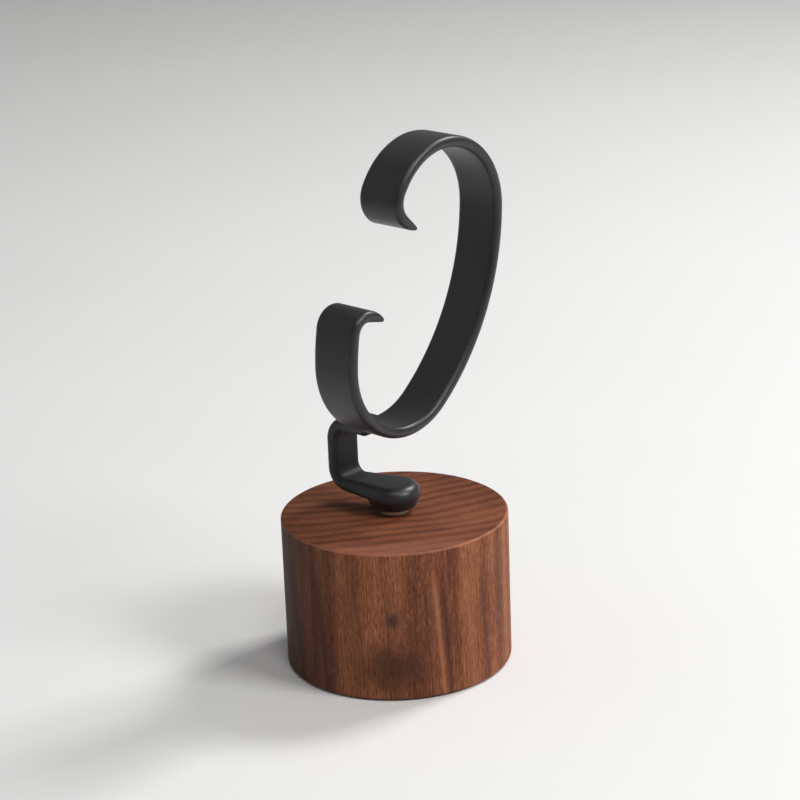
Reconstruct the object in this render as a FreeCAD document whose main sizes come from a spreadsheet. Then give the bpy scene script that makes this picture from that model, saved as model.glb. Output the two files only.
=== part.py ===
"""Watch stand: a C-shaped display cuff carried by a side leg and a boss on a turned walnut block.

Millimetres. +Z is up and the origin is the middle of the face that the stand rests on. The cuff opens
towards -Y, which is the front, and its leg stands at the -X side.
"""
import FreeCAD, Part
import math
import os
import Sketcher

SIZES = {
    # turned walnut block
    "block_diameter": 40.0,
    "block_top": 27.3,
    "block_edge_round": 0.4,
    "screw_hole_diameter": 3.6,
    "counterbore_diameter": 8.0,
    # rubber disc under the block
    "disc_thickness": 1.2,
    "disc_proud": 0.3,
    "disc_rim_width": 2.0,
    "disc_clearance": 0.2,
    # metal ring on the block
    "spacer_diameter": 5.4,
    "spacer_height": 0.95,
    "spacer_edge": 0.15,
    # screw, washer and insert
    "screw_diameter": 3.0,
    "screw_length": 20.0,
    "screw_head_diameter": 5.5,
    "screw_head_height": 3.0,
    "screw_socket_flats": 2.5,
    "screw_socket_depth": 1.6,
    "washer_diameter": 7.0,
    "washer_thickness": 0.5,
    "thread_clearance": 0.1,
    "insert_diameter": 4.4,
    "insert_length": 3.0,
    "insert_groove_depth": 0.3,
    "insert_groove_height": 0.8,
    "insert_clearance": 0.05,
    "screw_past_insert": 0.55,
    "tip_clearance": 0.3,
    # band of the cuff
    "band_width": 9.2,
    "band_thickness": 2.05,
    "band_edge_share": 0.463,
    "cuff_setback": 6.2,
    "cuff_tilt": 27.3,
    "cuff_length": 49.2,
    "cuff_depth": 29.9,
    "cuff_end_share": 0.408,
    # lips of the cuff, where it opens
    "lower_flank_angle": 8.7,
    "lower_curl_radius": 2.1,
    "lower_curl_angle": 89.0,
    "top_end_turn": 152.0,
    "upper_curl_radius": 2.9,
    "upper_curl_angle": 69.0,
    "lip_tip_radius": 0.35,
    "lip_tip_share": 0.85,
    # leg, foot and boss
    "strap_thickness": 2.4,
    "strap_width": 6.4,
    "strap_edge_share": 0.467,
    "leg_reach": 11.7,
    "leg_height": 11.35,
    "tab_overlap": 1.6,
    "tab_bend_radius": 2.2,
    "foot_bend_radius": 1.6,
    "boss_radius": 4.74,
    "boss_foot_radius": 4.0,
    "boss_foot_round": 1.3,
    "boss_top_share": 0.79,
    "boss_rim_share": 0.17,
    "boss_roof": 0.65,
}

doc = FreeCAD.newDocument("watch_stand")
sheet = doc.addObject("Spreadsheet::Sheet", "Sizes")
for row, (alias, size) in enumerate(SIZES.items(), start=1):
    sheet.set(f"A{row}", alias)
    sheet.set(f"B{row}", str(size))
    sheet.setAlias(f"B{row}", alias)
doc.recompute()

# Places that several pieces share, as expressions of the sheet
BLOCK_BOTTOM = "Sizes.disc_proud"
DISC_TOP = "Sizes.disc_thickness"
BOSS_SEAT = "(Sizes.block_top + Sizes.spacer_height)"
INSERT_TOP = f"({BOSS_SEAT} + Sizes.insert_length)"
SCREW_TIP = f"({INSERT_TOP} + Sizes.screw_past_insert)"
WASHER_BOTTOM = f"({SCREW_TIP} - Sizes.screw_length)"
HEAD_SEAT = f"({WASHER_BOTTOM} + Sizes.washer_thickness)"
SCREW_RADIUS = "Sizes.screw_diameter / 2"
HALF_STRAP = "Sizes.strap_thickness / 2"
BAND_ROUND = "(Sizes.band_thickness * Sizes.band_edge_share)"
STRAP_ROUND = "(Sizes.strap_thickness * Sizes.strap_edge_share)"
BOSS_TOP_ROUND = "(Sizes.strap_thickness * Sizes.boss_top_share)"
BOSS_RIM_ROUND = "(Sizes.strap_thickness * Sizes.boss_rim_share)"
END_RADIUS = "(Sizes.cuff_depth * Sizes.cuff_end_share)"
DISC_RADIUS = "(Sizes.block_diameter / 2 - Sizes.disc_rim_width)"
FOOT_START = "(Sizes.leg_reach - Sizes.foot_bend_radius - Sizes.strap_thickness)"
FOOT_TOP = f"({SCREW_TIP} + Sizes.tip_clearance + Sizes.boss_roof)"
FOOT_BOTTOM = f"({FOOT_TOP} - Sizes.strap_thickness)"
FOOT_MIDDLE = f"({FOOT_TOP} - {HALF_STRAP})"
TAB_MIDDLE = f"({FOOT_MIDDLE} + Sizes.leg_height)"
CUFF_BOTTOM = f"({TAB_MIDDLE} + {HALF_STRAP})"
CUFF_REACH = f"(Sizes.cuff_length / 2 - {END_RADIUS}) * cos(Sizes.cuff_tilt)"
CUFF_MIDDLE = f"({CUFF_BOTTOM} + {END_RADIUS} + {CUFF_REACH})"


def number(expression):
    """Value of an expression of the sheet, in millimetres or degrees."""
    return float(sheet.evalExpression(expression))


def body_sketch(body, name, plane):
    """Empty sketch on one of the body's own origin planes."""
    sketch = body.newObject("Sketcher::SketchObject", name)
    support = next(f for f in body.Origin.OriginFeatures if f.Role == plane)
    sketch.AttachmentSupport = [(support, "")]
    sketch.MapMode = "FlatFace"
    return sketch


def drive(sketch, constraint, expression):
    """Add a dimension to a sketch and bind it to the sheet."""
    index = sketch.addConstraint(constraint)
    sketch.setExpression(f"Constraints[{index}]", expression)


def fix_point(sketch, geometry, point, across, up):
    """Place a point of a sketch by two expressions, each positive or the plain word zero."""
    for expression, kind, axis in ((across, "DistanceX", -2), (up, "DistanceY", -1)):
        if expression == "zero":
            sketch.addConstraint(Sketcher.Constraint("PointOnObject", geometry, point, axis))
        else:
            distance = Sketcher.Constraint(kind, -1, 1, geometry, point, number(expression))
            drive(sketch, distance, expression)


def place(expression):
    """Starting value of a coordinate that fix_point binds later."""
    return 0.0 if expression == "zero" else number(expression)


def straight_outline(sketch, corners):
    """Closed outline of straight lines whose corners are bound to the sheet."""
    points = [FreeCAD.Vector(place(across), place(up), 0) for across, up in corners]
    count = len(points)
    for index in range(count):
        sketch.addGeometry(Part.LineSegment(points[index], points[(index + 1) % count]), False)
    for index in range(count):
        sketch.addConstraint(Sketcher.Constraint("Coincident", index, 2, (index + 1) % count, 1))
    for index, (across, up) in enumerate(corners):
        fix_point(sketch, index, 1, across, up)


def turned_body(label, corners):
    """Piece of revolution about Z from the corners of its half section."""
    body = doc.addObject("PartDesign::Body", label)
    sketch = body_sketch(body, f"{label}_section", "XZ_Plane")
    straight_outline(sketch, corners)
    turning = body.newObject("PartDesign::Revolution", f"{label}_turning")
    turning.Profile = sketch
    turning.ReferenceAxis = (sketch, ["V_Axis"])
    turning.Angle = 360.0
    sketch.Visibility = False
    doc.recompute()
    return body, turning


def edges_where(shape, wanted):
    """Names of the edges of a shape that pass a test."""
    return [f"Edge{i}" for i, edge in enumerate(shape.Edges, start=1) if wanted(edge)]


def ring_edges(shape, radius, height):
    """Circular edges of a turned piece at one radius and height."""

    def wanted(edge):
        middle = edge.BoundBox.Center
        round_edge = isinstance(edge.Curve, Part.Circle)
        return round_edge and abs(middle.z - height) < 0.01 and abs(edge.Curve.Radius - radius) < 0.01

    return edges_where(shape, wanted)


def add_dressup(body, kind, base, edges, size_name, expression):
    """Fillet or chamfer on named edges of a body."""
    dressup = body.newObject(f"PartDesign::{kind}", f"{body.Name}_{kind.lower()}")
    dressup.Base = (base, edges)
    dressup.setExpression(size_name, expression)
    doc.recompute()
    return dressup


def wood_block():
    """Turned block with a stepped screw hole and a recess for the disc in its underside."""
    radius = "Sizes.block_diameter / 2"
    recess_radius = f"{DISC_RADIUS} + Sizes.disc_clearance"
    corners = [
        (recess_radius, BLOCK_BOTTOM),
        (radius, BLOCK_BOTTOM),
        (radius, "Sizes.block_top"),
        ("Sizes.screw_hole_diameter / 2", "Sizes.block_top"),
        ("Sizes.screw_hole_diameter / 2", HEAD_SEAT),
        ("Sizes.counterbore_diameter / 2", HEAD_SEAT),
        ("Sizes.counterbore_diameter / 2", DISC_TOP),
        (recess_radius, DISC_TOP),
    ]
    body, turning = turned_body("wood_block", corners)
    rims = []
    for height in (BLOCK_BOTTOM, "Sizes.block_top"):
        rims += ring_edges(turning.Shape, number(radius), number(height))
    add_dressup(body, "Fillet", turning, rims, "Radius", "Sizes.block_edge_round")
    return body


def non_slip_disc():
    """Rubber disc let into the underside of the block and standing a little proud of it."""
    corners = [("zero", "zero"), (DISC_RADIUS, "zero"), (DISC_RADIUS, DISC_TOP), ("zero", DISC_TOP)]
    body, turning = turned_body("non_slip_disc", corners)
    rim = ring_edges(turning.Shape, number(DISC_RADIUS), 0.0)
    add_dressup(body, "Fillet", turning, rim, "Radius", "Sizes.disc_proud / 2")
    return body


def spacer():
    """Plated ring between the block and the boss."""
    radius = "Sizes.spacer_diameter / 2"
    bore = "Sizes.screw_hole_diameter / 2"
    corners = [
        (bore, "Sizes.block_top"),
        (radius, "Sizes.block_top"),
        (radius, BOSS_SEAT),
        (bore, BOSS_SEAT),
    ]
    body, turning = turned_body("spacer", corners)
    rims = []
    for height in ("Sizes.block_top", BOSS_SEAT):
        rims += ring_edges(turning.Shape, number(radius), number(height))
    add_dressup(body, "Chamfer", turning, rims, "Size", "Sizes.spacer_edge")
    return body


def screw_washer():
    """Plain washer between the screw's head and the step in the block."""
    bore = f"{SCREW_RADIUS} + 2 * Sizes.thread_clearance"
    radius = "Sizes.washer_diameter / 2"
    corners = [(bore, WASHER_BOTTOM), (radius, WASHER_BOTTOM), (radius, HEAD_SEAT), (bore, HEAD_SEAT)]
    body, _ = turned_body("screw_washer", corners)
    return body


def fixing_screw():
    """Cap screw that comes up from below, with a hexagon socket in its head."""
    head_radius = "Sizes.screw_head_diameter / 2"
    head_bottom = f"{WASHER_BOTTOM} - Sizes.screw_head_height"
    corners = [
        ("zero", head_bottom),
        (head_radius, head_bottom),
        (head_radius, WASHER_BOTTOM),
        (SCREW_RADIUS, WASHER_BOTTOM),
        (SCREW_RADIUS, f"{SCREW_TIP} - Sizes.thread_clearance * 4"),
        (f"{SCREW_RADIUS} - Sizes.thread_clearance * 4", SCREW_TIP),
        ("zero", SCREW_TIP),
    ]
    body, turning = turned_body("fixing_screw", corners)
    socket = body_sketch(body, "socket_outline", "XY_Plane")
    socket.setExpression("AttachmentOffset.Base.z", head_bottom)
    across_corners = number("Sizes.screw_socket_flats") / math.sqrt(3.0)
    points = []
    for step in range(6):
        turn = math.radians(60.0 * step)
        points.append(FreeCAD.Vector(across_corners * math.cos(turn), across_corners * math.sin(turn), 0))
    for step in range(6):
        socket.addGeometry(Part.LineSegment(points[step], points[(step + 1) % 6]), False)
    round_corners = Part.Circle(FreeCAD.Vector(), FreeCAD.Vector(0, 0, 1), across_corners)
    circle = socket.addGeometry(round_corners, True)
    socket.addConstraint(Sketcher.Constraint("Coincident", circle, 3, -1, 1))
    for step in range(6):
        socket.addConstraint(Sketcher.Constraint("Coincident", step, 2, (step + 1) % 6, 1))
        socket.addConstraint(Sketcher.Constraint("PointOnObject", step, 1, circle))
    for step in range(5):
        socket.addConstraint(Sketcher.Constraint("Equal", step, step + 1))
    socket.addConstraint(Sketcher.Constraint("PointOnObject", 0, 1, -1))
    corner_radius = Sketcher.Constraint("Radius", circle, across_corners)
    drive(socket, corner_radius, "Sizes.screw_socket_flats / sqrt(3)")
    pocket = body.newObject("PartDesign::Pocket", "socket_pocket")
    pocket.Profile = socket
    pocket.Reversed = True
    pocket.setExpression("Length", "Sizes.screw_socket_depth")
    doc.recompute()
    if pocket.Shape.Volume > turning.Shape.Volume - 1.0:
        raise RuntimeError("The hexagon socket isn't cut into the screw's head")
    return body


def threaded_insert():
    """Brass insert with a groove round its middle that the moulding grips."""
    radius = "Sizes.insert_diameter / 2"
    waist = f"{radius} - Sizes.insert_groove_depth"
    groove_bottom = f"{BOSS_SEAT} + Sizes.insert_length / 2 - Sizes.insert_groove_height / 2"
    groove_top = f"{BOSS_SEAT} + Sizes.insert_length / 2 + Sizes.insert_groove_height / 2"
    bore = f"{SCREW_RADIUS} + Sizes.thread_clearance"
    corners = [
        (bore, BOSS_SEAT),
        (radius, BOSS_SEAT),
        (radius, groove_bottom),
        (waist, groove_bottom),
        (waist, groove_top),
        (radius, groove_top),
        (radius, INSERT_TOP),
        (bore, INSERT_TOP),
    ]
    body, _ = turned_body("threaded_insert", corners)
    return body


class TangentPath:
    """Path of lines and arcs in a sketch, each tangent to the one before it.

    The path starts at a point with a heading. A radius, turn or length that is an expression is bound
    to the sheet; one that is a plain number follows from the sketch's other constraints.
    """

    def __init__(self, sketch, start, heading):
        self.sketch = sketch
        self.point = start
        self.heading = heading
        self.last = None

    def _join(self, geometry, first_end, last_end):
        index = self.sketch.addGeometry(geometry, False)
        if self.last is not None:
            before, before_end = self.last
            self.sketch.addConstraint(Sketcher.Constraint("Tangent", before, before_end, index, first_end))
        self.last = (index, last_end)
        return index

    def _bind(self, kind, index, value, source):
        if isinstance(source, str):
            drive(self.sketch, Sketcher.Constraint(kind, index, value), source)

    def line(self, length):
        """Straight run."""
        value = size_of(length)
        turn = math.radians(self.heading)
        end = self.point + FreeCAD.Vector(math.cos(turn), math.sin(turn), 0) * value
        index = self._join(Part.LineSegment(self.point, end), 1, 2)
        self._bind("Distance", index, value, length)
        self.point = end
        return index

    def arc(self, radius, turn, side):
        """Arc that turns by some degrees to the left (side 1) or to the right (side -1)."""
        radius_value = size_of(radius)
        turn_value = math.radians(size_of(turn))
        heading = math.radians(self.heading)
        inward = FreeCAD.Vector(-math.sin(heading), math.cos(heading), 0) * side
        centre = self.point + inward * radius_value
        start_angle = math.atan2(-inward.y, -inward.x)
        end_angle = start_angle + side * turn_value
        circle = Part.Circle(centre, FreeCAD.Vector(0, 0, 1), radius_value)
        if side > 0:
            index = self._join(Part.ArcOfCircle(circle, start_angle, end_angle), 1, 2)
        else:
            index = self._join(Part.ArcOfCircle(circle, end_angle, start_angle), 2, 1)
        self._bind("Radius", index, radius_value, radius)
        self._bind("Angle", index, turn_value, turn)
        self.heading += math.degrees(side * turn_value)
        self.point = centre + FreeCAD.Vector(math.cos(end_angle), math.sin(end_angle), 0) * radius_value
        return index


def size_of(source):
    """Number behind a source that is either an expression or already a number."""
    return number(source) if isinstance(source, str) else source


def placed_sketch(name, rotation):
    """Sketch that stands by itself, turned into the plane it is drawn for."""
    sketch = doc.addObject("Sketcher::SketchObject", name)
    sketch.Placement = FreeCAD.Placement(FreeCAD.Vector(), rotation)
    return sketch


def beak(inner_radius, outer_radius, tip_radius):
    """Length of a lip's straight inner side, and the turn of its outer arc beside it, in degrees."""
    across = inner_radius + tip_radius
    length = math.sqrt((outer_radius - tip_radius) ** 2 - across ** 2)
    return length, math.degrees(math.atan2(length, across))


def band_outline():
    """Outline of the band: an oval of tangent arcs, open at the front, with both ends curled to a beak.

    It runs up the outside to the upper lip, back along the inside to the lower lip and up to its start.
    The ends of the two rounded tips are returned with it.
    """
    sketch = placed_sketch("band_outline", FreeCAD.Rotation(FreeCAD.Vector(1, 1, 1), 120))
    tilt = math.radians(number("Sizes.cuff_tilt"))
    along = FreeCAD.Vector(math.sin(tilt), math.cos(tilt), 0)
    across = FreeCAD.Vector(math.cos(tilt), -math.sin(tilt), 0)
    centre = FreeCAD.Vector(number("Sizes.cuff_setback"), number(CUFF_MIDDLE), 0)
    thickness = number("Sizes.band_thickness")
    end_radius = number(END_RADIUS)
    half_depth = "(Sizes.cuff_depth / 2 + Sizes.band_thickness)"
    end_spacing = f"(Sizes.cuff_length - 2 * {END_RADIUS})"
    half_spacing = number(end_spacing) / 2
    rise = number("Sizes.cuff_depth / 2") - end_radius
    flank_radius = (half_spacing ** 2 + rise ** 2) / (2 * rise) + end_radius
    flank_turn = math.degrees(math.asin(half_spacing / (flank_radius - end_radius)))
    tip_radius = number("Sizes.lip_tip_radius")
    upper_radius = number("Sizes.upper_curl_radius")
    lower_radius = number("Sizes.lower_curl_radius")
    upper_length, upper_beak = beak(upper_radius, upper_radius + thickness, tip_radius)
    lower_length, lower_beak = beak(lower_radius, lower_radius + thickness, tip_radius)
    top_turn = number("Sizes.top_end_turn")
    bottom_turn = 180.0 - 2 * flank_turn

    end_to_end = Part.LineSegment(centre - along * half_spacing, centre + along * half_spacing)
    long_axis = sketch.addGeometry(end_to_end, True)
    start = centre + across * number(half_depth)
    short_axis = sketch.addGeometry(Part.LineSegment(centre, start), True)
    fix_point(sketch, short_axis, 1, "Sizes.cuff_setback", CUFF_MIDDLE)
    sketch.addConstraint(Sketcher.Constraint("Symmetric", long_axis, 1, long_axis, 2, short_axis, 1))
    sketch.addConstraint(Sketcher.Constraint("Perpendicular", long_axis, short_axis))
    drive(sketch, Sketcher.Constraint("Distance", long_axis, 2 * half_spacing), end_spacing)
    drive(sketch, Sketcher.Constraint("Distance", short_axis, number(half_depth)), half_depth)
    drive(sketch, Sketcher.Constraint("Angle", -2, 2, long_axis, 2, -tilt), "-Sizes.cuff_tilt")

    path = TangentPath(sketch, start, 90.0 - math.degrees(tilt))
    flank_up = path.arc(flank_radius + thickness, flank_turn, 1)
    top_outside = path.arc(f"({END_RADIUS} + Sizes.band_thickness)", "Sizes.top_end_turn", 1)
    upper_curl = path.arc("(Sizes.upper_curl_radius + Sizes.band_thickness)", "Sizes.upper_curl_angle", 1)
    upper_lip = path.arc(upper_radius + thickness, upper_beak, 1)
    tips = [path.point]
    path.arc("Sizes.lip_tip_radius", 180.0 - upper_beak, 1)
    tips.append(path.point)
    path.line(upper_length)
    upper_inside = path.arc("Sizes.upper_curl_radius", "Sizes.upper_curl_angle", -1)
    top_inside = path.arc(end_radius, top_turn, -1)
    flank_inside = path.arc(flank_radius, 2 * flank_turn, -1)
    bottom_inside = path.arc(end_radius, bottom_turn, -1)
    front_inside = path.arc(flank_radius, "Sizes.lower_flank_angle", -1)
    lower_inside = path.arc("Sizes.lower_curl_radius", "Sizes.lower_curl_angle", -1)
    path.line(lower_length)
    tips.append(path.point)
    path.arc("Sizes.lip_tip_radius", 180.0 - lower_beak, 1)
    tips.append(path.point)
    lower_lip = path.arc(lower_radius + thickness, lower_beak, 1)
    lower_curl = path.arc(lower_radius + thickness, "Sizes.lower_curl_angle", 1)
    front_outside = path.arc(flank_radius + thickness, number("Sizes.lower_flank_angle"), 1)
    bottom_outside = path.arc(end_radius + thickness, bottom_turn, 1)
    flank_down = path.arc(flank_radius + thickness, flank_turn, 1)

    sketch.addConstraint(Sketcher.Constraint("Coincident", flank_up, 1, short_axis, 2))
    sketch.addConstraint(Sketcher.Constraint("PointOnObject", flank_up, 3, short_axis))
    sketch.addConstraint(Sketcher.Constraint("Coincident", flank_down, 2, flank_up, 1))
    sketch.addConstraint(Sketcher.Constraint("Symmetric", flank_up, 3, front_inside, 3, long_axis))
    sketch.addConstraint(Sketcher.Constraint("Equal", upper_curl, upper_lip))
    sketch.addConstraint(Sketcher.Constraint("Equal", lower_curl, lower_lip))
    same_centres = (
        (top_outside, long_axis, 2),
        (top_inside, long_axis, 2),
        (bottom_inside, long_axis, 1),
        (bottom_outside, long_axis, 1),
        (flank_inside, flank_up, 3),
        (flank_down, flank_up, 3),
        (upper_inside, upper_curl, 3),
        (lower_lip, lower_inside, 3),
        (front_outside, front_inside, 3),
    )
    for arc, other, point in same_centres:
        sketch.addConstraint(Sketcher.Constraint("Coincident", arc, 3, other, point))
    return sketch, tips


def leg_path():
    """Middle line of the strap: out from the band, down the leg and back under it as the foot."""
    sketch = placed_sketch("leg_path", FreeCAD.Rotation(FreeCAD.Vector(1, 0, 0), 90))
    tab_radius = number(f"Sizes.tab_bend_radius + {HALF_STRAP}")
    foot_radius = number(f"Sizes.foot_bend_radius + {HALF_STRAP}")
    root = "Sizes.band_width / 2 - Sizes.tab_overlap"
    leg_line = f"Sizes.leg_reach - {HALF_STRAP}"
    tab_run = number(f"{leg_line} - ({root})") - tab_radius
    leg_run = number("Sizes.leg_height") - tab_radius - foot_radius
    foot_end = f"({FOOT_START} - Sizes.strap_thickness)"
    start = FreeCAD.Vector(-number(root), number(TAB_MIDDLE), 0)
    path = TangentPath(sketch, start, 180.0)
    tab = path.line(tab_run)
    path.arc(f"(Sizes.tab_bend_radius + {HALF_STRAP})", 90.0, 1)
    leg = path.line(leg_run)
    path.arc(f"(Sizes.foot_bend_radius + {HALF_STRAP})", 90.0, 1)
    foot = path.line(number(f"{leg_line} - {foot_end}") - foot_radius)
    for run, direction in ((tab, "Horizontal"), (leg, "Vertical"), (foot, "Horizontal")):
        sketch.addConstraint(Sketcher.Constraint(direction, run))
    measures = (
        ("DistanceX", tab, 1, -1, 1, root),
        ("DistanceY", -1, 1, tab, 1, TAB_MIDDLE),
        ("DistanceX", leg, 1, -1, 1, leg_line),
        ("DistanceY", -1, 1, foot, 2, FOOT_MIDDLE),
        ("DistanceX", foot, 2, -1, 1, foot_end),
    )
    for kind, first, first_end, second, second_end, expression in measures:
        measure = Sketcher.Constraint(kind, first, first_end, second, second_end, number(expression))
        drive(sketch, measure, expression)
    return sketch


def foot_outline():
    """Foot seen from above: its front edge runs straight into the boss and its back edge flares to it."""
    sketch = placed_sketch("foot_outline", FreeCAD.Rotation())
    sketch.setExpression("Placement.Base.z", FOOT_BOTTOM)
    boss = number("Sizes.boss_radius")
    root = -number(FOOT_START)
    back = number("Sizes.strap_width") - boss
    reach = math.hypot(root, back)
    touch = math.atan2(back, root) - math.acos(boss / reach)
    corner = FreeCAD.Vector(root, back, 0)
    touch_point = FreeCAD.Vector(boss * math.cos(touch), boss * math.sin(touch), 0)
    circle = Part.Circle(FreeCAD.Vector(), FreeCAD.Vector(0, 0, 1), boss)
    front_line = Part.LineSegment(FreeCAD.Vector(root, -boss, 0), FreeCAD.Vector(0, -boss, 0))
    front = sketch.addGeometry(front_line)
    round_end = sketch.addGeometry(Part.ArcOfCircle(circle, -math.pi / 2, touch))
    flare = sketch.addGeometry(Part.LineSegment(touch_point, corner))
    closing = sketch.addGeometry(Part.LineSegment(corner, FreeCAD.Vector(root, -boss, 0)))
    sketch.addConstraint(Sketcher.Constraint("Coincident", round_end, 3, -1, 1))
    sketch.addConstraint(Sketcher.Constraint("Tangent", front, 2, round_end, 1))
    sketch.addConstraint(Sketcher.Constraint("Tangent", round_end, 2, flare, 1))
    sketch.addConstraint(Sketcher.Constraint("Coincident", flare, 2, closing, 1))
    sketch.addConstraint(Sketcher.Constraint("Coincident", closing, 2, front, 1))
    sketch.addConstraint(Sketcher.Constraint("Horizontal", front))
    sketch.addConstraint(Sketcher.Constraint("Vertical", closing))
    drive(sketch, Sketcher.Constraint("Radius", round_end, boss), "Sizes.boss_radius")
    width = Sketcher.Constraint("DistanceY", closing, 2, closing, 1, number("Sizes.strap_width"))
    drive(sketch, width, "Sizes.strap_width")
    root_distance = Sketcher.Constraint("DistanceX", closing, 1, -1, 1, -root)
    drive(sketch, root_distance, FOOT_START)
    return sketch


def extrusion(label, base, direction):
    """Straight extrusion of an outline; its two lengths are set by what calls it."""
    solid = doc.addObject("Part::Extrusion", label)
    solid.Base = base
    solid.DirMode = "Custom"
    solid.Dir = FreeCAD.Vector(*direction)
    solid.Solid = True
    return solid


def strip_along(label, path, half_thickness, direction):
    """Solid strip of constant thickness about a path in its sketch's plane, with rounded ends."""
    outline = doc.addObject("Part::Offset2D", f"{label}_outline")
    outline.Source = path
    outline.Mode = "Pipe"
    outline.Join = "Arc"
    outline.setExpression("Value", half_thickness)
    return extrusion(f"{label}_strip", outline, direction)


def rounded(label, base, wanted, radius_at):
    """Fillet the edges of a solid that pass a test, with the radius that each end of an edge asks for."""
    doc.recompute()
    fillet = doc.addObject("Part::Fillet", label)
    fillet.Base = base
    picked = [(i, edge) for i, edge in enumerate(base.Shape.Edges, start=1) if wanted(edge)]
    fillet.Edges = [(i, radius_at(edge.Vertexes[0]), radius_at(edge.Vertexes[-1])) for i, edge in picked]
    doc.recompute()
    return fillet


def display_cuff():
    """Moulded cuff: band with curled lips, tab, leg, foot and boss, with the pocket for the insert."""
    outline, tips = band_outline()
    band = extrusion("band", outline, (1, 0, 0))
    band.Symmetric = True
    band.setExpression("LengthFwd", "Sizes.band_width")
    side = number("Sizes.band_width / 2")

    def band_radius(vertex):
        at_tip = any(abs(vertex.Y - tip.x) < 0.001 and abs(vertex.Z - tip.y) < 0.001 for tip in tips)
        return number("Sizes.lip_tip_radius * Sizes.lip_tip_share" if at_tip else BAND_ROUND)

    band_round = rounded("band_rounded", band, lambda edge: lies_at(edge, "x", (-side, side)), band_radius)

    leg = strip_along("leg", leg_path(), HALF_STRAP, (0, -1, 0))
    leg.setExpression("LengthFwd", "Sizes.boss_radius")
    leg.setExpression("LengthRev", "Sizes.strap_width - Sizes.boss_radius")
    front = -number("Sizes.boss_radius")
    back = number("Sizes.strap_width - Sizes.boss_radius")
    strap_radius = number(STRAP_ROUND)
    leg_round = rounded("leg_rounded", leg, lambda edge: lies_at(edge, "y", (front, back)),
                        lambda vertex: strap_radius)

    foot = extrusion("foot_plate", foot_outline(), (0, 0, 1))
    foot.setExpression("LengthFwd", "Sizes.strap_thickness")
    low, high = number(FOOT_BOTTOM), number(FOOT_TOP)
    root = -number(FOOT_START)

    def foot_radius(vertex):
        if abs(vertex.X - root) < 0.001:
            return strap_radius
        return number(BOSS_TOP_ROUND if abs(vertex.Z - high) < 0.001 else BOSS_RIM_ROUND)

    foot_round = rounded("foot_rounded", foot,
                         lambda edge: lies_at(edge, "z", (low, high)) and not lies_at(edge, "x", (root,)),
                         foot_radius)

    bowl_top = f"{FOOT_TOP} - {BOSS_TOP_ROUND}"
    bowl_corners = [
        ("zero", BOSS_SEAT),
        ("Sizes.boss_foot_radius", BOSS_SEAT),
        ("Sizes.boss_radius", FOOT_BOTTOM),
        ("Sizes.boss_radius", bowl_top),
        ("zero", bowl_top),
    ]
    bowl, turning = turned_body("boss_bowl", bowl_corners)
    foot_rim = ring_edges(turning.Shape, number("Sizes.boss_foot_radius"), number(BOSS_SEAT))
    add_dressup(bowl, "Fillet", turning, foot_rim, "Radius", "Sizes.boss_foot_round")

    pocket_top = f"{INSERT_TOP} + Sizes.insert_clearance"
    tip_radius = f"{SCREW_RADIUS} + Sizes.tip_clearance"
    pocket_radius = "Sizes.insert_diameter / 2 + Sizes.insert_clearance"
    pocket_corners = [
        ("zero", "Sizes.block_top"),
        (pocket_radius, "Sizes.block_top"),
        (pocket_radius, pocket_top),
        (tip_radius, pocket_top),
        (tip_radius, f"{SCREW_TIP} + Sizes.tip_clearance"),
        ("zero", f"{SCREW_TIP} + Sizes.tip_clearance"),
    ]
    pocket, _ = turned_body("insert_pocket", pocket_corners)

    whole = doc.addObject("Part::MultiFuse", "cuff_whole")
    whole.Shapes = [band_round, leg_round, foot_round, bowl]
    whole.Refine = True
    cuff = doc.addObject("Part::Cut", "display_cuff")
    cuff.Base = whole
    cuff.Tool = pocket
    cuff.Refine = False
    doc.recompute()
    return cuff


def lies_at(edge, axis, places):
    """Whether an edge lies in one of the planes across an axis."""
    box = edge.BoundBox
    low = getattr(box, axis.upper() + "Min")
    high = getattr(box, axis.upper() + "Max")
    return any(abs(low - place) < 0.001 and abs(high - place) < 0.001 for place in places)


def write_parts(parts):
    """Check every object of the document and write one file for each piece."""
    doc.recompute()
    for item in doc.Objects:
        if "Invalid" in item.State or "Error" in item.State:
            raise RuntimeError(f"{item.Label} failed to build: {item.State}")
    os.makedirs("parts", exist_ok=True)
    for part in parts:
        shape = part.Shape
        if shape.isNull() or not shape.isValid() or len(shape.Solids) != 1:
            raise RuntimeError(f"{part.Label} isn't one valid solid")
        shape.exportStep(os.path.join("parts", f"{part.Label}.step"))
        print(f"{part.Label}: {shape.Volume:.1f} mm3")


write_parts([
    wood_block(),
    non_slip_disc(),
    spacer(),
    screw_washer(),
    fixing_screw(),
    threaded_insert(),
    display_cuff(),
])
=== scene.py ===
import math

import bpy
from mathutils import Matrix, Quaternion, Vector

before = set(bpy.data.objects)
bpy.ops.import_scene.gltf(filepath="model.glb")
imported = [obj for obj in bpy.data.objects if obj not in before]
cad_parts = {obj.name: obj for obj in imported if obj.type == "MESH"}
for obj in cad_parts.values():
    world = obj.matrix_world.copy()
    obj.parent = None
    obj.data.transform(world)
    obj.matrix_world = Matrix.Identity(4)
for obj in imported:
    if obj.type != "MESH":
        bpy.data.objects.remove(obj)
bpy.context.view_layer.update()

MM = 0.001

# Camera at the photograph's viewing angle: angles in degrees, lengths in metres, the lens in millimetres
CAMERA_AZIMUTH = 43.5
CAMERA_ELEVATION = 18.86
CAMERA_ROLL = -2.2
CAMERA_DISTANCE = 0.4265
CAMERA_LENS = 110.98
CAMERA_AIM = Vector((0.00126, 0.0012, 0.04781))

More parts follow.
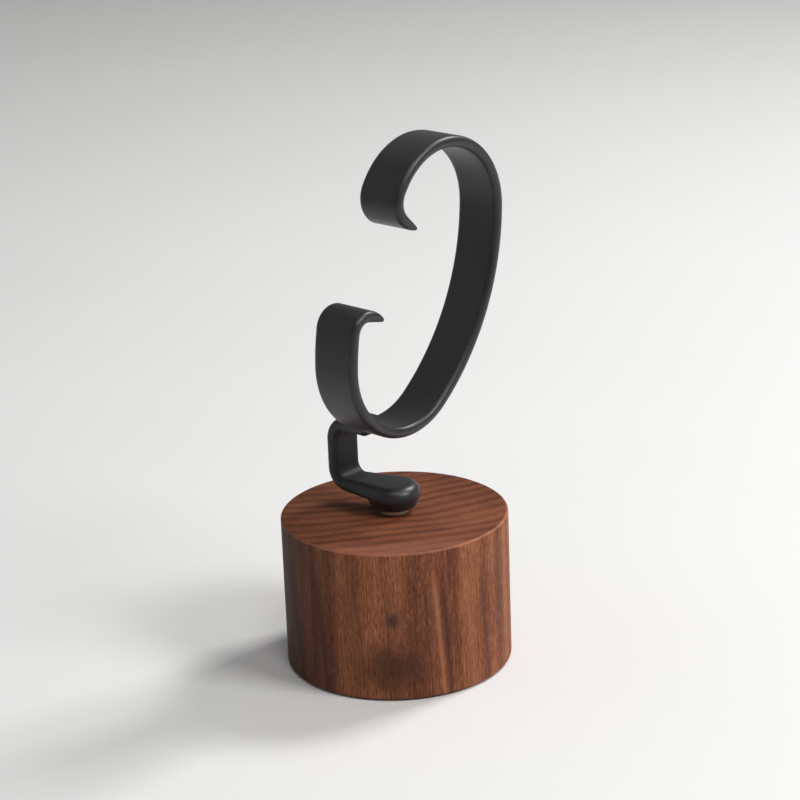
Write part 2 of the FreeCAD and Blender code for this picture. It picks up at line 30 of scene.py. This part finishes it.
# Lights: name, degrees round from the camera, degrees up, distance, width of the square and watts
LIGHTS = (
    ("key_light", 60.0, 40.0, 0.7, 0.24, 2.6),
    ("front_light", 15.0, 60.0, 0.7, 0.16, 0.7),
    ("fill_light", -90.0, 25.0, 0.9, 0.6, 0.25),
    ("back_light", 126.0, 46.0, 0.8, 0.2, 4.0),
)
SURROUND_STRENGTH = 0.3

# Walnut's rings: two level directions, the tree's middle along them, the rings' spacing and wander, and the
# share that each layer has in the figure
FIGURE_SIDE = (0.725, 0.688, 0.0)
FIGURE_FRONT = (0.688, -0.725, 0.0)
PITH_SIDE_MM = 18.0
PITH_BACK_MM = 75.0
RING_MM = 2.9
RING_DRIFT_MM = 4.0
RING_RIPPLE_MM = 0.5
RING_SWELL_MM = 0.25
RING_LEAN = -0.012
RING_POWER = 1.7
RING_SHARE = 0.28
FINE_SHARE = 0.2
HAZE_SHARE = 0.52
FIGURE_COLOURS = (
    (0.3, (176, 116, 82)),
    (0.44, (154, 98, 68)),
    (0.58, (128, 79, 56)),
    (0.74, (96, 56, 40)),
)

# Walnut's grain: tints of the lines, the fibre, the flecks, the pores and the sawn end
LINE_TINT = (222, 206, 196)
FIBRE_TINT = (196, 174, 162)
FLECK_COLOUR = (198, 142, 110)
PORE_COLOUR = (50, 28, 21)
END_TINT = (208, 198, 196)

# Streaks on the front: the part of the block that shows them, their lean and wander, and for each one its
# middle, half width, strength and colour
STREAK_FORWARD_MM = (4.0, 9.0)
STREAK_HEIGHT_MM = (18.0, 25.0)
STREAK_LEAN = 0.06
STREAK_WANDER_MM = 1.2
STREAKS = (
    (9.6, 0.7, 0.8, (74, 39, 26)),
    (8.4, 0.6, 0.5, (184, 120, 86)),
    (6.3, 0.35, 0.6, (78, 44, 31)),
    (16.2, 0.5, 0.5, (88, 50, 35)),
    (13.6, 1.2, 0.3, (176, 114, 80)),
    (-0.7, 0.2, 0.5, (76, 44, 33)),
    (-5.2, 0.3, 0.35, (80, 48, 37)),
    (-12.0, 1.2, 0.6, (60, 34, 26)),
    (-16.4, 0.9, 0.6, (52, 29, 22)),
)

# Painted shade, darker towards one side, on the flank and on the sawn end, and deeper at the far side on the
# flank
PAINTED_SHADE_SIDE_MM = (-16.0, 3.0)
PAINTED_SHADE_ON_FLANK = 0.52
PAINTED_SHADE_ON_END = 0.05
PAINTED_SHADE_COLOUR = (66, 38, 28)
PAINTED_FAR_SHADE_SIDE_MM = (-20.0, -8.0)
PAINTED_FAR_SHADE_ON_FLANK = 0.68
PAINTED_FAR_SHADE_COLOUR = (40, 21, 14)

# Painted highlight on the rounded top edge, and the paler wood next to it at the front
RIM_HIGHLIGHT_STRENGTH = 0.3
RIM_HIGHLIGHT_COLOUR = (188, 130, 102)
NEAR_RIM_FORWARD_MM = (14.0, 17.0)
NEAR_RIM_STRENGTH = 0.15
NEAR_RIM_COLOUR = (190, 132, 106)

# Knot and the stain under it
KNOT_MM = (13.1, -15.1, 15.0)
KNOT_HALO_MM = (0.6, 3.2)
KNOT_HALO_COLOUR = (92, 62, 50)
KNOT_HEART_MM = (0.4, 1.45)
KNOT_HEART_COLOUR = (50, 36, 32)
STAIN_MM = (12.7, -15.4, 6.0)
STAIN_REACH_MM = (3.2, 10.5)
STAIN_RAGGED_MM = 4.0
STAIN_STRENGTH = 0.8
STAIN_COLOUR = (58, 32, 23)

# Soft coating: its roughness, and the part of the leg where it is duller
COATING_ROUGHNESS = 0.35
COATING_DULLER = 0.18
LEG_X_MM = (-7.5, -4.5)
LEG_TOP_MM = (42.0, 46.0)


def srgb(red, green, blue):
    """Linear colour from the usual 0 to 255 values."""
    parts = []
    for value in (red, green, blue):
        value /= 255.0
        parts.append(value / 12.92 if value <= 0.04045 else ((value + 0.055) / 1.055) ** 2.4)
    return tuple(parts)


class Nodes:
    """Short names for the shader nodes that the materials are made of."""

    def __init__(self, name):
        self.material = bpy.data.materials.new(name)
        self.material.use_nodes = True
        self.tree = self.material.node_tree
        self.shader = self.tree.nodes["Principled BSDF"]

    def set(self, **values):
        """Plain values on the shader's own sockets."""
        for name, value in values.items():
            self.shader.inputs[name.replace("_", " ")].default_value = value

    def feed(self, socket, source):
        """Link a source to one of the shader's sockets."""
        self.tree.links.new(source, self.shader.inputs[socket])

    def _fill(self, node, index, value):
        if isinstance(value, bpy.types.NodeSocket):
            self.tree.links.new(value, node.inputs[index])
        else:
            node.inputs[index].default_value = value

    def math(self, operation, *values):
        node = self.tree.nodes.new("ShaderNodeMath")
        node.operation = operation
        for index, value in enumerate(values):
            self._fill(node, index, value)
        return node.outputs[0]

    def hypot(self, first, second):
        """Length of the diagonal of two values."""
        squares = self.math("MULTIPLY_ADD", first, first, self.math("MULTIPLY", second, second))
        return self.math("SQRT", squares)

    def vector(self, operation, *values):
        node = self.tree.nodes.new("ShaderNodeVectorMath")
        node.operation = operation
        for index, value in enumerate(values):
            self._fill(node, index, value)
        return node.outputs["Value" if operation in ("LENGTH", "DOT_PRODUCT") else "Vector"]

    def place_mm(self):
        """Place on the object in millimetres."""
        coordinates = self.tree.nodes.new("ShaderNodeTexCoord")
        return self.vector("MULTIPLY", coordinates.outputs["Object"], (1 / MM, 1 / MM, 1 / MM))

    def away(self, place, point, height_factor):
        """Distance from a point, with heights counted by a factor."""
        offset = self.vector("SUBTRACT", place, point)
        return self.vector("LENGTH", self.vector("MULTIPLY", offset, (1.0, 1.0, height_factor)))

    def facing(self):
        """Direction that the surface faces."""
        return self.tree.nodes.new("ShaderNodeNewGeometry").outputs["Normal"]

    def split(self, vector):
        node = self.tree.nodes.new("ShaderNodeSeparateXYZ")
        self.tree.links.new(vector, node.inputs[0])
        return node.outputs

    def noise(self, place, scale, detail=2.0, roughness=0.5, tall=1.0):
        """Noise of a scale per millimetre, drawn out in height by a factor."""
        node = self.tree.nodes.new("ShaderNodeTexNoise")
        node.inputs["Scale"].default_value = 1.0
        node.inputs["Detail"].default_value = detail
        node.inputs["Roughness"].default_value = roughness
        scaled = self.vector("MULTIPLY", place, (scale, scale, scale / tall))
        self.tree.links.new(scaled, node.inputs["Vector"])
        return node.outputs["Fac"]

    def noise_along(self, value, scale, detail):
        """Noise that varies with one value only."""
        node = self.tree.nodes.new("ShaderNodeTexNoise")
        node.noise_dimensions = "1D"
        node.inputs["Scale"].default_value = scale
        node.inputs["Detail"].default_value = detail
        node.inputs["Roughness"].default_value = 0.6
        self.tree.links.new(value, node.inputs["W"])
        return node.outputs["Fac"]

    def cells(self, place, scale, tall):
        """Distance to the nearest of many scattered points, drawn out in height by a factor."""
        node = self.tree.nodes.new("ShaderNodeTexVoronoi")
        node.inputs["Scale"].default_value = 1.0
        scaled = self.vector("MULTIPLY", place, (scale, scale, scale / tall))
        self.tree.links.new(scaled, node.inputs["Vector"])
        return node.outputs["Distance"]

    def ramp(self, value, stops):
        """Colour ramp with stops of a position and a colour from 0 to 255."""
        node = self.tree.nodes.new("ShaderNodeValToRGB")
        elements = node.color_ramp.elements
        while len(elements) < len(stops):
            elements.new(0.5)
        for element, (position, colour) in zip(elements, stops):
            element.position = position
            element.color = (*srgb(*colour), 1.0)
        self.tree.links.new(value, node.inputs[0])
        return node.outputs[0]

    def steps(self, value, low, high):
        """Smooth step from 0 to 1 between two values."""
        node = self.tree.nodes.new("ShaderNodeMapRange")
        node.interpolation_type = "SMOOTHSTEP"
        node.inputs["From Min"].default_value = low
        node.inputs["From Max"].default_value = high
        self.tree.links.new(value, node.inputs["Value"])
        return node.outputs[0]

    def fade(self, value, low, high):
        """Smooth step from 1 to 0 between two values."""
        return self.math("SUBTRACT", 1.0, self.steps(value, low, high))

    def sum(self, *weighted):
        """Sum of values, each times its weight."""
        total = 0.0
        for value, weight in weighted:
            total = self.math("MULTIPLY_ADD", value, weight, total)
        return total

    def mix(self, factor, first, second, blend="MIX"):
        node = self.tree.nodes.new("ShaderNodeMix")
        node.data_type = "RGBA"
        node.blend_type = blend
        self._fill(node, 0, factor)
        for index, value in ((6, first), (7, second)):
            if isinstance(value, tuple):
                value = (*value, 1.0)
            self._fill(node, index, value)
        return node.outputs[2]

    def tint(self, colour, mask, strength, tone, blend="MIX"):
        """Colour with a tone laid over it where the mask says."""
        return self.mix(self.math("MULTIPLY", mask, strength), colour, srgb(*tone), blend)

    def bump(self, height, distance_mm, strength=1.0):
        node = self.tree.nodes.new("ShaderNodeBump")
        node.inputs["Distance"].default_value = distance_mm * MM
        node.inputs["Strength"].default_value = strength
        self.tree.links.new(height, node.inputs["Height"])
        self.tree.links.new(node.outputs[0], self.shader.inputs["Normal"])


class Walnut:
    """Oiled walnut as one solid figure: rings on the end grain run on as bands down the side."""

    def __init__(self):
        nodes = Nodes("walnut")
        place = nodes.place_mm()
        self.nodes = nodes
        self.place = place
        self.height = nodes.split(place)["Z"]
        self.sideways = nodes.vector("DOT_PRODUCT", place, FIGURE_SIDE)
        self.forward = nodes.vector("DOT_PRODUCT", place, FIGURE_FRONT)
        self.ripple = nodes.noise(place, 0.3, detail=1.0, tall=30.0)
        self.haze = nodes.noise(place, 0.09, tall=2.5)
        self.from_knot = nodes.away(place, KNOT_MM, 0.7)
        tilt = nodes.split(nodes.facing())["Z"]
        self.end_grain = nodes.steps(tilt, 0.9, 0.99)
        # Painted highlight where the surface tilts between upright and level, on the rounded top edge
        self.rim_highlight = nodes.math("MULTIPLY", nodes.steps(tilt, 0.05, 0.35), nodes.fade(tilt, 0.8, 0.99))

    def rings(self):
        """Colour of the rings, which wander and swell round the knot."""
        nodes = self.nodes
        pith_side = nodes.math("ADD", self.sideways, PITH_SIDE_MM)
        pith_back = nodes.math("ADD", self.forward, PITH_BACK_MM)
        radius = nodes.sum(
            (nodes.hypot(pith_side, pith_back), 1.0),
            (nodes.noise(self.place, 0.06, detail=1.0, tall=9.0), RING_DRIFT_MM),
            (self.ripple, RING_RIPPLE_MM),
            (nodes.fade(self.from_knot, 0.0, 4.0), RING_SWELL_MM),
            (self.height, RING_LEAN),
        )
        turn = nodes.math("SINE", nodes.math("MULTIPLY", radius, 2.0 * math.pi / RING_MM))
        ring = nodes.math("POWER", nodes.math("MULTIPLY_ADD", turn, 0.5, 0.5), RING_POWER)
        vigour = nodes.steps(nodes.noise_along(radius, 0.13, detail=1.0), 0.3, 0.7)
        ring = nodes.math("MULTIPLY", ring, nodes.math("MULTIPLY_ADD", vigour, 0.6, 0.4))
        fine = nodes.noise_along(radius, 1.3, detail=3.0)
        figure = nodes.sum((ring, RING_SHARE), (fine, FINE_SHARE), (self.haze, HAZE_SHARE))
        return nodes.ramp(figure, FIGURE_COLOURS)

    def grain(self, colour):
        """Colour with its lines, fibre, flecks and pores, and the roughness and relief that go with them."""
        nodes = self.nodes
        lines = nodes.noise(self.place, 4.2, roughness=0.6, tall=80.0)
        fibre = nodes.noise(self.place, 7.0, roughness=0.7, tall=12.0)
        colour = nodes.mix(nodes.steps(lines, 0.42, 0.7), colour, srgb(*LINE_TINT), "MULTIPLY")
        colour = nodes.mix(nodes.steps(fibre, 0.35, 0.65), colour, srgb(*FIBRE_TINT), "MULTIPLY")
        flecks = nodes.fade(nodes.cells(self.place, 2.4, tall=5.0), 0.08, 0.3)
        colour = nodes.tint(colour, flecks, 0.22, FLECK_COLOUR)
        patches = nodes.steps(nodes.noise(self.place, 0.35, detail=1.0, tall=5.0), 0.42, 0.6)
        pores = nodes.fade(nodes.cells(self.place, 1.3, tall=24.0), 0.03, 0.12)
        pores = nodes.math("MULTIPLY", pores, nodes.math("MULTIPLY_ADD", patches, 0.7, 0.3))
        nodes.feed("Roughness", nodes.math("MULTIPLY_ADD", fibre, 0.14, 0.55))
        nodes.bump(nodes.sum((lines, 0.3), (fibre, 0.3), (pores, -1.0)), 0.05, 0.45)
        return nodes.tint(colour, pores, 0.75, PORE_COLOUR)

    def streaks(self, colour):
        """Colour with the slanted streaks on the front."""
        nodes = self.nodes
        across = nodes.sum(
            (self.sideways, 1.0),
            (self.height, STREAK_LEAN),
            (self.ripple, STREAK_WANDER_MM),
        )
        in_front = nodes.steps(self.forward, *STREAK_FORWARD_MM)
        near_front = nodes.math("MULTIPLY", in_front, nodes.fade(self.height, *STREAK_HEIGHT_MM))
        for middle, half_width, strength, tone in STREAKS:
            away = nodes.math("ABSOLUTE", nodes.math("SUBTRACT", across, middle))
            band = nodes.math("MULTIPLY", nodes.fade(away, 0.0, half_width), near_front)
            colour = nodes.tint(colour, band, strength, tone)
        return colour

    def sawn_end_and_painted_shade(self, colour):
        """Colour with the cooler sawn end, painted shade towards one side and the paler wood near the front
        edge.
        """
        nodes = self.nodes
        colour = nodes.tint(colour, self.end_grain, 0.8, END_TINT, "MULTIPLY")
        # Painted shade on the flank, and faintly on the sawn end, darker towards one side
        shade = nodes.fade(nodes.sum((self.sideways, 1.0), (self.haze, 8.0)), *PAINTED_SHADE_SIDE_MM)
        less_on_end = PAINTED_SHADE_ON_END - PAINTED_SHADE_ON_FLANK
        strength = nodes.math("MULTIPLY_ADD", self.end_grain, less_on_end, PAINTED_SHADE_ON_FLANK)
        colour = nodes.tint(colour, shade, strength, PAINTED_SHADE_COLOUR)
        # Deeper painted shade at the far side, on the flank only
        painted_far_shade = nodes.fade(self.sideways, *PAINTED_FAR_SHADE_SIDE_MM)
        strength = nodes.math("MULTIPLY_ADD", self.end_grain, -PAINTED_FAR_SHADE_ON_FLANK, PAINTED_FAR_SHADE_ON_FLANK)
        colour = nodes.tint(colour, painted_far_shade, strength, PAINTED_FAR_SHADE_COLOUR)
        near_rim = nodes.steps(self.forward, *NEAR_RIM_FORWARD_MM)
        near_rim = nodes.math("MULTIPLY", near_rim, self.end_grain)
        return nodes.tint(colour, near_rim, NEAR_RIM_STRENGTH, NEAR_RIM_COLOUR)

    def knot(self, colour):
        """Colour with the stain, and with the knot's halo and dark heart."""
        nodes = self.nodes
        from_stain = nodes.away(self.place, STAIN_MM, 1.1)
        from_stain = nodes.sum((from_stain, 1.0), (nodes.noise(self.place, 0.5), STAIN_RAGGED_MM))
        colour = nodes.tint(colour, nodes.fade(from_stain, *STAIN_REACH_MM), STAIN_STRENGTH, STAIN_COLOUR)
        colour = nodes.tint(colour, nodes.fade(self.from_knot, *KNOT_HALO_MM), 0.22, KNOT_HALO_COLOUR)
        return nodes.tint(colour, nodes.fade(self.from_knot, *KNOT_HEART_MM), 0.72, KNOT_HEART_COLOUR)

    def finish(self):
        """Finished material."""
        nodes = self.nodes
        colour = self.knot(self.sawn_end_and_painted_shade(self.streaks(self.grain(self.rings()))))
        # Painted highlight laid on the rounded top edge
        nodes.feed("Base Color", nodes.tint(colour, self.rim_highlight, RIM_HIGHLIGHT_STRENGTH, RIM_HIGHLIGHT_COLOUR))
        nodes.set(Specular_IOR_Level=0.18)
        return nodes.material


def soft_touch():
    """Charcoal soft-touch coating with a very fine grain, duller on the leg."""
    nodes = Nodes("soft_touch_black")
    place = nodes.place_mm()
    parts = nodes.split(place)
    grain = nodes.noise(place, 6.5, roughness=0.6)
    cloud = nodes.noise(place, 0.35, detail=3.0)
    leg = nodes.math("MULTIPLY", nodes.fade(parts["X"], *LEG_X_MM), nodes.fade(parts["Z"], *LEG_TOP_MM))
    nodes.feed("Base Color", nodes.mix(cloud, srgb(26, 25, 28), srgb(34, 33, 37)))
    nodes.feed("Roughness", nodes.sum((cloud, 0.08), (leg, COATING_DULLER), (COATING_ROUGHNESS, 1.0)))
    nodes.set(Sheen_Weight=0.1, Sheen_Roughness=0.4)
    nodes.bump(grain, 0.012)
    return nodes.material


def turned_metal(name, colour, roughness, pitch):
    """Turned metal with fine rings left by the tool."""
    nodes = Nodes(name)
    place = nodes.place_mm()
    parts = nodes.split(place)
    across = nodes.hypot(parts["X"], parts["Y"])
    lines = nodes.noise_along(nodes.math("ADD", across, parts["Z"]), pitch, detail=2.0)
    smudge = nodes.noise(place, 1.2)
    darker = tuple(part * 0.8 for part in colour)
    nodes.feed("Base Color", nodes.mix(smudge, colour, darker))
    nodes.feed("Roughness", nodes.math("MULTIPLY_ADD", lines, 0.12, roughness))
    nodes.set(Metallic=1.0)
    nodes.bump(lines, 0.01, 0.4)
    return nodes.material


def rubber():
    """Dark rubber with a fine cast texture."""
    nodes = Nodes("rubber_disc")
    grain = nodes.noise(nodes.place_mm(), 4.0, detail=3.0, roughness=0.7)
    nodes.feed("Base Color", nodes.mix(grain, srgb(30, 30, 31), srgb(52, 52, 53)))
    nodes.feed("Roughness", nodes.math("MULTIPLY_ADD", grain, 0.2, 0.65))
    nodes.bump(grain, 0.08, 0.4)
    return nodes.material


def studio_surface():
    """Pale, faintly mottled paper for the floor and backdrop."""
    nodes = Nodes("studio_paper")
    mottle = nodes.noise(nodes.place_mm(), 0.01)
    nodes.feed("Base Color", nodes.mix(mottle, srgb(226, 226, 225), srgb(232, 231, 230)))
    nodes.set(Roughness=0.9)
    return nodes.material


def studio():
    """Round floor that curves up into a backdrop on all sides."""
    floor_radius = 1.3
    bend_radius = 0.9
    wall_height = 1.6
    bend_steps = 16
    spokes = 96
    profile = [(floor_radius, 0.0)]
    for step in range(1, bend_steps + 1):
        turn = math.radians(90.0 * step / bend_steps)
        profile.append((floor_radius + bend_radius * math.sin(turn), bend_radius * (1.0 - math.cos(turn))))
    profile.append((floor_radius + bend_radius, bend_radius + wall_height))
    points = [(0.0, 0.0, 0.0)]
    for radius, height in profile:
        for spoke in range(spokes):
            turn = 2.0 * math.pi * spoke / spokes
            points.append((radius * math.cos(turn), radius * math.sin(turn), height))
    faces = [(0, 1 + spoke, 1 + (spoke + 1) % spokes) for spoke in range(spokes)]
    for ring in range(len(profile) - 1):
        inner = 1 + ring * spokes
        outer = inner + spokes
        for spoke in range(spokes):
            after = (spoke + 1) % spokes
            faces.append((inner + spoke, outer + spoke, outer + after, inner + after))
    mesh = bpy.data.meshes.new("studio_floor")
    mesh.from_pydata(points, [], faces)
    for polygon in mesh.polygons:
        polygon.use_smooth = True
    floor = bpy.data.objects.new("studio_floor", mesh)
    mesh.materials.append(studio_surface())
    bpy.context.collection.objects.link(floor)


def aim(thing, azimuth, elevation, distance, roll=0.0):
    """Put a light or the camera round the object, facing the point that the camera aims at."""
    turn, lift = math.radians(azimuth), math.radians(elevation)
    back = Vector((math.sin(turn) * math.cos(lift), -math.cos(turn) * math.cos(lift), math.sin(lift)))
    thing.location = CAMERA_AIM + back * distance
    thing.rotation_mode = "QUATERNION"
    twist = Quaternion((0.0, 0.0, 1.0), math.radians(roll))
    thing.rotation_quaternion = (-back).to_track_quat("-Z", "Y") @ twist
    bpy.context.collection.objects.link(thing)


def lighting():
    """Soft key from the right, weaker light from the front and left, a back light and a pale surround."""
    for name, round_from_camera, elevation, distance, width, watts in LIGHTS:
        data = bpy.data.lights.new(name, "AREA")
        data.size = width
        data.energy = watts
        light = bpy.data.objects.new(name, data)
        aim(light, CAMERA_AZIMUTH + round_from_camera, elevation, distance)
    world = bpy.data.worlds.new("studio_world")
    world.use_nodes = True
    background = world.node_tree.nodes["Background"]
    background.inputs["Color"].default_value = (1.0, 1.0, 1.0, 1.0)
    background.inputs["Strength"].default_value = SURROUND_STRENGTH
    bpy.context.scene.world = world


def camera():
    """Camera with the photograph's lens, place and slight roll."""
    data = bpy.data.cameras.new("camera")
    data.lens = CAMERA_LENS
    data.sensor_width = 36.0
    data.clip_start = 0.01
    data.clip_end = 20.0
    eye = bpy.data.objects.new("camera", data)
    aim(eye, CAMERA_AZIMUTH, CAMERA_ELEVATION, CAMERA_DISTANCE, CAMERA_ROLL)
    bpy.context.scene.camera = eye


def dress(node, material):
    """Give a carried-over piece its finish."""
    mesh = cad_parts[node].data
    mesh.materials.clear()
    mesh.materials.append(material)


dress("wood_block", Walnut().finish())
dress("display_cuff", soft_touch())
dress("spacer", turned_metal("bright_ring", (0.84, 0.83, 0.82), 0.24, 14.0))
zinc = turned_metal("zinc_plate", (0.62, 0.63, 0.66), 0.3, 9.0)
dress("fixing_screw", zinc)
dress("screw_washer", zinc)
dress("threaded_insert", turned_metal("turned_brass", (0.8, 0.6, 0.3), 0.25, 10.0))
dress("non_slip_disc", rubber())
studio()
lighting()
camera()
bpy.context.scene.view_settings.view_transform = "Standard"
